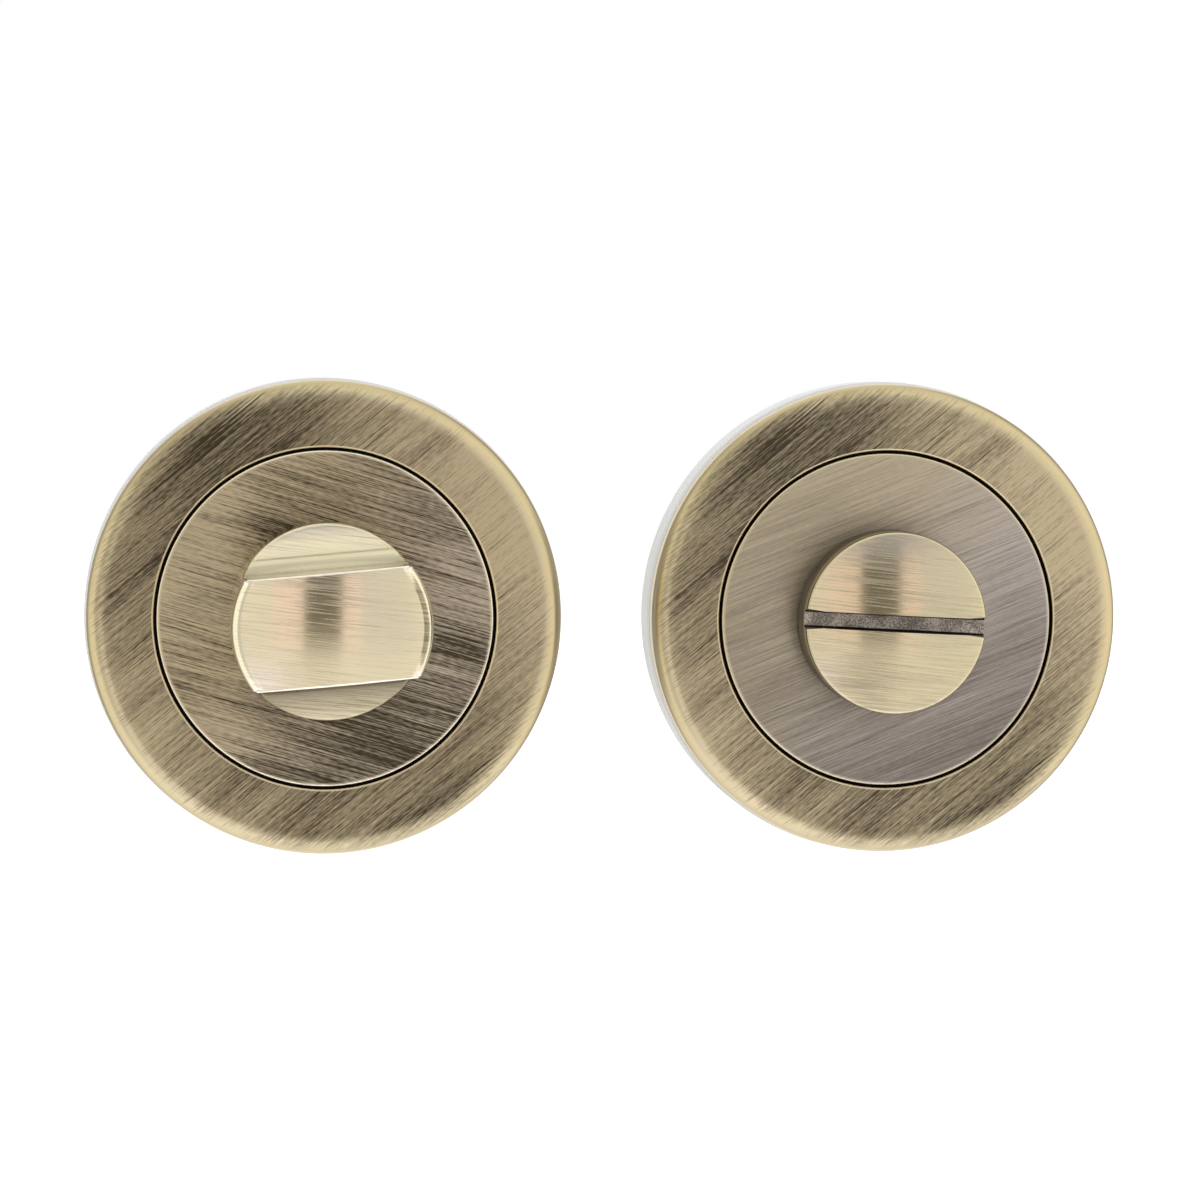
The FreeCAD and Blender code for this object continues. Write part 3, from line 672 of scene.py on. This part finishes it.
def settle(obj, body, material, replaced, sharpDegrees=28, drill=None):
    # merge what meets, turn every face outwards, smooth all but the sharp edges, give the piece its materials
    # and body, and hide the part it replaces
    mesh = obj.data
    work = bmesh.new()
    work.from_mesh(mesh)
    bmesh.ops.remove_doubles(work, verts=work.verts, dist=2e-7)
    bmesh.ops.dissolve_degenerate(work, edges=work.edges, dist=1e-7)
    bmesh.ops.recalc_face_normals(work, faces=work.faces)
    work.to_mesh(mesh)
    work.free()
    if drill:
        drilled(obj, drill)
        mesh = obj.data
    chosen = np.zeros(len(mesh.polygons), np.int32)
    mesh.polygons.foreach_get("material_index", chosen)
    mesh.materials.clear()
    for each in material if isinstance(material, list) else [material]:
        mesh.materials.append(each)
    mesh.polygons.foreach_set("material_index", np.minimum(chosen, len(mesh.materials) - 1))
    mesh.shade_smooth()
    mesh.set_sharp_from_angle(angle=math.radians(sharpDegrees))
    weighted = obj.modifiers.new("evenShading", "WEIGHTED_NORMAL")
    weighted.keep_sharp = True
    weighted.weight = 100
    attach(obj, body)
    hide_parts(replaced)


def gridFaces(rows, columns, poles):
    # quads between rows of a grid that closes round; with poles, a fan closes the first and the last row
    index = np.arange(rows * columns).reshape(rows, columns)
    ahead = np.roll(index, -1, axis=1)
    quads = np.stack([index[:-1], ahead[:-1], ahead[1:], index[1:]], -1).reshape(-1, 4).tolist()
    if poles:
        total = rows * columns
        quads += np.stack([np.full(columns, total), ahead[0], index[0]], -1).tolist()
        quads += np.stack([np.full(columns, total + 1), index[-1], ahead[-1]], -1).tolist()
    return quads


def closedRows(half, rows, angles, ends, degrees=0.0, x=0.0, y=0.0):
    # rows of (radius, level) at every angle round the place x, y, with a pole at the level of each end
    radii = np.stack([r for r, w in rows])
    levels = np.stack([w for r, w in rows])
    vertices = onDoor(half, x + radii * np.cos(angles), y + radii * np.sin(angles), levels, degrees)
    poles = onDoor(half, np.full(2, x), np.full(2, y), np.array(ends))
    vertices = np.concatenate([vertices.reshape(-1, 3), poles])
    return vertices, gridFaces(len(rows), len(angles), True), radii, levels


def turnedPiece(name, half, body, material, replaced, profile, inner, segments=256):
    # a closed profile of (radius, level) carried round the axis
    # inner tells from a band's middle (radius, level) whether the second material covers it
    profile = np.concatenate([profile, profile[:1]])
    angles = np.linspace(0, 2 * np.pi, segments, endpoint=False)
    radius, level = profile[:, :1], profile[:, 1:] + 0 * angles
    vertices = onDoor(half, radius * np.cos(angles), radius * np.sin(angles), level)
    middle = (profile[:-1] + profile[1:]) / 2
    choice = np.repeat(inner(middle[:, 0], middle[:, 1]).astype(np.int32), segments)
    faces = gridFaces(len(profile), segments, False)
    finishPiece(name, body, material, replaced, vertices, faces, choice=choice)


# The two roses

rose = {
    "shoulder": 2.0,
    "ringWidth": 7.3,
    "boreBevel": 0.2,
    "lip": 1.2,
    "skirtWall": 2.7,
    "gap": 0.3,
    "edgeBreak": 0.3,
    "discWeb": 1.6,
    "flangeWall": 1.8,
    "hubWall": 2.5,
    "hubReach": 4.8,
    "bushRadius": 6.02,
    "plateTop": 6.4,
    "threadRelief": 0.5,
    "threadBevel": 0.1,
}


def outerRose(half):
    node = half + "_outer_rose"
    low, high = boxLevels(node)
    outside = boxRadius(node)
    bore = outside - rose["ringWidth"]
    thread = outside - rose["skirtWall"]
    profile = outline([
        (thread, high - rose["lip"] - rose["threadRelief"], 0),
        (thread, low, -rose["threadBevel"]),
        (outside, low, -rose["boreBevel"]),
        (outside, high, rose["shoulder"]),
        (bore, high, rose["boreBevel"]),
        (bore, high - rose["lip"], 0),
        (thread, high - rose["lip"], 0),
    ], 14)
    turnedPiece(half + "_ring", half, "roses", [ringBrass[half], gapShadeMetal], node, profile,
                lambda r, w: (r <= thread + 0.01) & (w < high - rose["boreBevel"] - 0.01))


def innerRose(half):
    node = half + "_inner_rose"
    low, high = boxLevels(node)
    disc = boxRadius(half + "_outer_rose") - rose["ringWidth"] - rose["gap"]
    flange = boxRadius(node)
    bushRadius, plateTop = rose["bushRadius"], rose["plateTop"]
    lip = high - rose["lip"]
    web = high - rose["discWeb"]
    hub = bushRadius + rose["hubWall"]
    skirt = flange - rose["flangeWall"]
    profile = outline([
        (bushRadius, high - rose["hubReach"] / 2, 0),
        (bushRadius, high - rose["hubReach"], 0),
        (hub, high - rose["hubReach"], -rose["edgeBreak"]),
        (hub, web, -rose["edgeBreak"]),
        (skirt, web, -rose["edgeBreak"]),
        (skirt, plateTop, 0),
        (flange, plateTop, 0),
        (flange, lip, 0),
        (disc, lip, 0),
        (disc, high, rose["edgeBreak"]),
        (bushRadius, high, 0),
    ])
    turnedPiece(half + "_disc", half, "roses", [discBrass[half], gapShadeMetal], node, profile,
                lambda r, w: (r >= disc - 0.01) & (w < high - rose["edgeBreak"] - 0.01))


for half in centreX:
    outerRose(half)
    innerRose(half)
print("roses made")


# The thumb turn; its knob and the coin release's button have the same stem

stem = {
    "seat": 10.5,
    "stemRadius": 5.0,
    "tail": -6.0,
    "tailBevel": 0.4,
    "grooveRadius": 4.8,
    "grooveFrom": 3.55,
    "grooveTo": 4.65,
    "socketTop": 13.5,
}
knob = {
    **stem,
    "radius": 10.7,
    "height": 17.6,
    "foot": 4.4,
    "crown": 42.0,
    "edge": 1.4,
    "footEdge": 0.5,
    "blade": 12.0,
    "scoop": 6.0,
    "bladeEdge": 0.4,
    "socketHalf": 2.55,
    "grubRadius": 1.5,
    "grubLevel": -3.0,
    # how fine the grid is: columns in a quarter turn, and rows
    "columns": [36, 5, 5, 64],
    "crownRows": 60,
    "roundRows": 6,
    "cheekRows": 12,
    "scoopRows": 26,
    "footRows": 8,
}


def crownCurve(radius, crown, edge, top):
    # a domed, soft-edged top: a circle of the crown's radius that a small arc joins to the side wall
    centre = np.array([0.0, top - crown])
    inner = crown - edge
    arcX = radius - edge
    arcCentre = np.array([arcX, centre[1] + math.sqrt(inner ** 2 - arcX ** 2)])
    meet = centre + (arcCentre - centre) * crown / inner
    return {"centre": centre, "arc": arcCentre, "meet": meet, "edge": edge, "crown": crown}


def crownLevel(curve, r):
    # level at radius r: centre + root of (radius squared - r squared), on the dome or on its edge's arc
    dome = curve["centre"][1] + np.sqrt(np.maximum(curve["crown"] ** 2 - r ** 2, 0))
    arc = curve["arc"][1] + np.sqrt(np.maximum(curve["edge"] ** 2 - (r - curve["arc"][0]) ** 2, 0))
    return np.where(r <= curve["meet"][0], dome, arc)


def columnsBetween(stops, counts):
    # angles round the axis with a column exactly at each stop
    runs = [np.linspace(a, b, n, endpoint=False) for a, b, n in zip(stops, stops[1:], counts)]
    return np.concatenate(runs)


def socketRadius(half, angles):
    # distance from the axis to the wall of a square hole, at each angle
    return half / np.maximum(np.abs(np.cos(angles)), np.abs(np.sin(angles)))


def stemRows(k, angles):
    # from the head's underside down the stem, round its tail and up the square socket
    ones = np.ones_like(angles)
    radius, groove = k["stemRadius"], k["grooveRadius"]
    levels = [
        (radius, k["seat"]), (radius, k["grooveTo"]), (groove, k["grooveTo"]), (groove, k["grooveFrom"]),
        (radius, k["grooveFrom"]), (radius, k["tail"] + k["tailBevel"]), (radius - k["tailBevel"], k["tail"]),
    ]
    rows = [(r * ones, w * ones) for r, w in levels]
    square = socketRadius(k["socketHalf"], angles)
    top = k["socketTop"] * ones
    rows += [(square, k["tail"] * ones), (square, top), (square * 0.5, top)]
    return rows


def grubHole(k):
    # a short round bar square to the axis, from the middle of the socket out through the stem's wall
    angles = np.linspace(0, 2 * np.pi, 48, endpoint=False)
    ends = np.array([[0.0], [k["stemRadius"] + 1]])
    x, up = k["grubRadius"] * np.cos(angles) + 0 * ends, ends + 0 * angles
    vertices = onDoor("turn", x, up, k["grubLevel"] + k["grubRadius"] * np.sin(angles) + 0 * ends,
                      restTurn["turn"]).reshape(-1, 3)
    poles = onDoor("turn", np.zeros(2), ends[:, 0], np.full(2, k["grubLevel"]), restTurn["turn"])
    return np.concatenate([vertices, poles]), gridFaces(2, len(angles), True)


def thumbTurn():
    # at every angle round the axis, rows run from the crown's middle over the edge, down the blade's flat
    # cheek, along the scoop to the rim and down the foot
    k = knob
    top = k["seat"] + k["height"]
    floor = k["seat"] + k["foot"]
    half, radius, soft, scoop = k["blade"] / 2, k["radius"], k["bladeEdge"], k["scoop"]
    curve = crownCurve(radius, k["crown"], k["edge"], top)
    corner, ease = math.asin(half / radius), soft / radius
    late = math.atan2(half, radius * math.cos(corner) - soft)
    quarter = [0, corner - ease, corner, late, math.pi / 2]
    stops = quarter + [math.pi - a for a in quarter[-2:0:-1]] + [math.pi]
    stops += [math.pi + a for a in stops[1:]]
    angles = columnsBetween(stops, (k["columns"] + k["columns"][::-1]) * 2)
    sine = np.maximum(np.abs(np.sin(angles)), 1e-6)
    # the upright edge between cheek and end is cut off by a plane square to their halving line
    folded = np.arcsin(np.clip(sine, 0, 1))
    middle = (corner + math.pi / 2) / 2
    away = radius * math.cos(corner - middle) - soft * math.sin((math.pi / 2 - corner) / 2)
    bevel = away / np.maximum(np.cos(folded - middle), 0.2)
    side = np.minimum(np.minimum(half / sine, radius), np.where(folded < middle, bevel, radius))
    cut = folded > corner - 1e-9
    inset = np.where(cut, np.minimum(soft, side * 0.05), 0.0)
    rows = []
    for part in np.linspace(0.02, 1, k["crownRows"]) ** 0.85:
        r = (side - inset) * part
        rows.append((r, crownLevel(curve, r)))
    edgeTop = rows[-1][1]
    quarterTurn = np.linspace(0, math.pi / 2, k["roundRows"])[1:]
    for turn in quarterTurn:
        rows.append((side - inset * (1 - math.sin(turn)), edgeTop - inset * (1 - math.cos(turn))))
    start = rows[-1][1]
    wallFoot = floor + scoop
    for part in np.linspace(0, 1, k["cheekRows"])[1:]:
        rows.append((side, start + (wallFoot - start) * part))
    # the scoop is a circle's arc seen along the blade, as far as the rim lets it run
    rim = np.where(cut, np.clip((radius - side) * 0.5, 0.0, soft), 0.0)
    reach = np.clip((half + scoop - (radius - rim) * sine) / scoop, -1, 1)
    last = np.where(cut, np.arccos(reach), 0.0)
    for part in np.linspace(0, 1, k["scoopRows"])[1:]:
        across = half + scoop * (1 - np.cos(last * part))
        level = np.where(cut, floor + scoop * (1 - np.sin(last * part)), wallFoot)
        rows.append((np.where(cut, np.maximum(across / sine, side), side), level))
    rimR, rimW = rows[-1]
    for turn in quarterTurn:
        r = np.where(cut, radius - rim + rim * math.sin(turn), side)
        rows.append((np.maximum(r, rimR), rimW - rim * (1 - math.cos(turn))))
    wallStart = rows[-1][1]
    low = k["seat"] + k["footEdge"]
    for part in np.linspace(0, 1, k["footRows"])[1:]:
        rows.append((np.full_like(angles, radius), wallStart + (low - wallStart) * part))
    for turn in quarterTurn:
        r = radius - k["footEdge"] * (1 - math.cos(turn))
        rows.append((np.full_like(angles, r), np.full_like(angles, low - k["footEdge"] * math.sin(turn))))
    rows += stemRows(k, angles)
    vertices, faces = closedRows("turn", rows, angles, [top, k["socketTop"]], restTurn["turn"])[:2]
    finishPiece("thumb_turn", "turn", knobBrass, "turn_knob", vertices, faces, 24,
                drill=grubHole(k))


thumbTurn()
print("thumb turn made")


# The coin release

button = {
    **stem,
    "radius": 10.0,
    "height": 6.6,
    "crown": 46.0,
    "edge": 0.35,
    "slotHalf": 0.925,
    "slotDepth": 2.3,
    "slotCorner": 0.4,
    "socketHalf": 2.6,
    # how fine the grid is: columns in a quarter turn, and rows
    "columns": [4, 6, 70],
    "floorRows": (8, 12),
    "wallRows": 6,
    "crownRows": 56,
    "sideRows": 10,
    "roundRows": 5,
}


def coinButton():
    # at every angle, rows run along the slot's floor, up its wall, over the crown and down the side
    b = button
    top = b["seat"] + b["height"]
    floor = top - b["slotDepth"]
    radius = b["radius"]
    curve = crownCurve(radius, b["crown"], b["edge"], top)
    corner = math.asin(b["slotHalf"] / radius)
    flat = math.asin((b["slotHalf"] - b["slotCorner"]) / radius)
    stops = [0, flat, corner, math.pi / 2, math.pi - corner, math.pi - flat, math.pi]
    stops += [math.pi + a for a in stops[1:]]
    angles = columnsBetween(stops, (b["columns"] + b["columns"][::-1]) * 2)
    sine = np.maximum(np.abs(np.sin(angles)), 1e-6)
    slotEdge = np.minimum(b["slotHalf"] / sine, radius)
    cut = b["slotHalf"] / sine < radius - 1e-9
    rows = []
    middleRows, cornerRows = b["floorRows"]
    for part in np.concatenate([np.linspace(0.05, 0.56, middleRows), np.linspace(0.6, 1, cornerRows)]):
        r = slotEdge * part
        across = r * sine
        dip = np.maximum(across - (b["slotHalf"] - b["slotCorner"]), 0)
        level = floor + b["slotCorner"] - np.sqrt(np.maximum(b["slotCorner"] ** 2 - dip ** 2, 0))
        rows.append((r, level))
    endW = rows[-1][1]
    wallTop = np.where(cut, crownLevel(curve, slotEdge), endW)
    for part in np.linspace(0, 1, b["wallRows"])[1:]:
        rows.append((slotEdge, endW + (wallTop - endW) * part))
    slotRows = len(rows)
    for part in 1 - np.linspace(1, 0, b["crownRows"])[1:] ** 1.5:
        r = slotEdge + (radius - slotEdge) * part
        rows.append((r, np.where(cut, crownLevel(curve, r), endW)))
    sideTop = rows[-1][1]
    sideStart = len(rows) - 1
    low = b["seat"] + b["edge"]
    for part in np.linspace(0, 1, b["sideRows"])[1:]:
        rows.append((np.full_like(angles, radius), sideTop + (low - sideTop) * part))
    for turn in np.linspace(0, math.pi / 2, b["roundRows"])[1:]:
        r = radius - b["edge"] * (1 - math.cos(turn))
        rows.append((np.full_like(angles, r), np.full_like(angles, low - b["edge"] * math.sin(turn))))
    sideEnd = len(rows)
    rows += stemRows(b, angles)
    vertices, faces, radii, levels = closedRows(
        "release", rows, angles, [floor, b["socketTop"]], restTurn["release"])
    # the slot's floor and walls have their own material, and so has the button's side
    across = np.abs((radii[:-1] + radii[1:]) / 2 * np.sin(angles + np.pi / len(angles)))
    middle = (levels[:-1] + levels[1:]) / 2
    slotFaces = (across < b["slotHalf"] + 0.02) & (middle < top - 0.35) & (middle > floor - 0.01)
    slotFaces[slotRows - 1:] = False
    slotFaces = slotFaces.astype(np.int32)
    slotFaces[sideStart:sideEnd] = 2
    # the fan in the slot's middle is slot, and the one in the socket is brass
    fans = [np.ones(len(angles)), np.zeros(len(angles))]
    choice = np.concatenate([slotFaces.ravel(), *fans]).astype(np.int32)
    finishPiece("coin_button", "release", [buttonBrass, slotFloor, sideMetal], "release_button",
                vertices, faces, 24, choice)


coinButton()
print("coin release made")


# Pieces behind the roses that keep their own shape, with even shading

def smoothCopy(node, body, slot):
    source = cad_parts[node]
    obj = bpy.data.objects.new(node + "_smooth", source.data.copy())
    bpy.context.scene.collection.objects.link(obj)
    settle(obj, body, materials[slot], node)


for half in centreX:
    for part, slot in (("nylon_base", "white_nylon"), ("mounting_plate", "die_cast_zinc"),
                       ("stem_bush", "bush_nylon")):
        smoothCopy(half + "_" + part, "roses", slot)
    for part in ("wave_washer", "circlip"):
        smoothCopy(half + "_" + part, half, "spring_steel")

for node in ("turn_spindle", "turn_grub_screw"):
    smoothCopy(node, "turn", "plated_steel")


# Screws, bolts and sleeves, with their threads

fixings = {
    "bolt": {
        "head": 3.75, "shank": 1.775, "length": 45.0, "plain": 13.6, "recess": 2.0, "slot": "plated_steel",
        "pitch": 0.7, "core": 1.57, "crest": 2.0, "crestShare": 0.15, "rootShare": 0.3, "point": 0.4,
    },
    "sleeve": {
        "head": 4.0, "shank": 3.0, "length": 25.0, "recess": 2.0, "slot": "plated_steel",
        "pitch": 0.7, "bore": 1.65, "boreCrest": 2.0, "crestShare": 0.15, "rootShare": 0.3, "point": 0.4,
        "boreDepth": 20.0, "boreMouth": 0.15, "boreLead": 0.5, "boreFade": 1.5,
    },
    "wood_screw": {
        "head": 3.2, "shank": 1.3, "length": 16.0, "plain": 4.2, "recess": 1.75, "slot": "passivated_steel",
        "pitch": 1.35, "core": 1.12, "crest": 1.75, "crestShare": 0.08, "rootShare": 0.45, "point": 3.5,
    },
}
headTop, headLand, crossWidth, crossDepth = 6.3, 0.25, 0.9, 1.7
boltRow, screwRow = 19.0, 15.0
levelsPerTurn = 10


def ridge(angles, levels, pitch, crestShare, rootShare):
    # a helix as height from 0 in the root to 1 on the crest: flat crest and root with straight flanks,
    # repeated along level / pitch - angle / full turn
    phase = (levels[:, None] / pitch - angles / (2 * np.pi)) % 1
    away = np.abs(phase - 0.5) * 2
    return np.clip((1 - rootShare - away) / (1 - rootShare - crestShare), 0, 1)


def fixing(kind, node, half, x, y):
    # rows run from the cross recess over the head and down the shank; the thread's radius is the core's
    # plus the ridge's height, and a sleeve's thread is inside
    f = fixings[kind]
    corner = math.asin(crossWidth / 2 / f["recess"])
    stops = np.concatenate([[q + a for a in (0, corner, math.pi / 4, math.pi / 2 - corner)]
                            for q in np.arange(4) * math.pi / 2] + [[2 * math.pi]])
    angles = columnsBetween(stops, [4, 5, 5, 4] * 4)
    ones = np.ones_like(angles)
    arms = crossWidth / 2 / np.minimum(np.maximum(np.abs(np.sin(angles)), 1e-6),
                                       np.maximum(np.abs(np.cos(angles)), 1e-6))
    tip = headTop - f["length"]
    rows = [
        (np.minimum(arms, crossWidth / 2), (headTop - crossDepth) * ones),
        (np.minimum(arms, f["recess"]), headTop * ones),
        (f["head"] * ones, headTop * ones),
        (f["head"] * ones, (headTop - headLand) * ones),
        (f["shank"] * ones, (headTop - headLand - (f["head"] - f["shank"])) * ones),
    ]
    if "bore" in f:
        rows += [
            (f["shank"] * ones, (tip + f["point"]) * ones),
            ((f["shank"] - f["point"]) * ones, tip * ones),
            ((f["boreCrest"] + f["boreMouth"]) * ones, tip * ones),
        ]
        levels = np.arange(tip + f["boreLead"], tip + f["boreDepth"], f["pitch"] / levelsPerTurn)
        turns = ridge(angles, levels, f["pitch"], f["crestShare"], f["rootShare"])
        fade = np.clip((tip + f["boreDepth"] - levels) / f["boreFade"], 0, 1)[:, None]
        inside = f["boreCrest"] - (f["boreCrest"] - f["bore"]) * np.maximum(turns, 1 - fade)
        rows += [(r, w * ones) for r, w in zip(inside, levels)]
        last = levels[-1]
    else:
        start = headTop - f["plain"]
        levels = np.arange(start, tip + 0.02, -f["pitch"] / levelsPerTurn)
        turns = ridge(angles, levels, f["pitch"], f["crestShare"], f["rootShare"])
        fade = np.clip((start - levels) / f["pitch"], 0, 1)[:, None]
        taper = np.clip((levels - tip) / f["point"], 0, 1)[:, None]
        if kind == "bolt":
            limit = f["crest"] - f["point"] * (1 - taper)
            core = np.minimum(f["core"] + (f["shank"] - f["core"]) * (1 - fade), limit)
            outside = np.minimum(core + (f["crest"] - core) * turns * fade, limit)
        else:
            core = (f["core"] + (f["shank"] - f["core"]) * (1 - fade)) * taper
            outside = core + (f["crest"] - f["core"]) * turns * fade * taper ** 0.5
            outside = np.minimum(outside, f["crest"] * np.maximum(taper, 0.02))
        rows.append((f["shank"] * ones, start * ones))
        rows += [(r, w * ones) for r, w in zip(outside, levels)]
        last = tip
    vertices, faces = closedRows(half, rows, angles, [headTop - crossDepth, last], x=x, y=y)[:2]
    finishPiece(node + "_threaded", "roses", materials[f["slot"]], node, vertices, faces, 40)


for place, y in (("upper", boltRow), ("lower", -boltRow)):
    fixing("bolt", "turn_bolt_" + place, "turn", 0.0, y)
    fixing("sleeve", "release_sleeve_" + place, "release", 0.0, y)
for half in centreX:
    for side, x in (("left", -screwRow), ("right", screwRow)):
        fixing("wood_screw", half + "_wood_screw_" + side, half, x, 0.0)
print("fixings made")
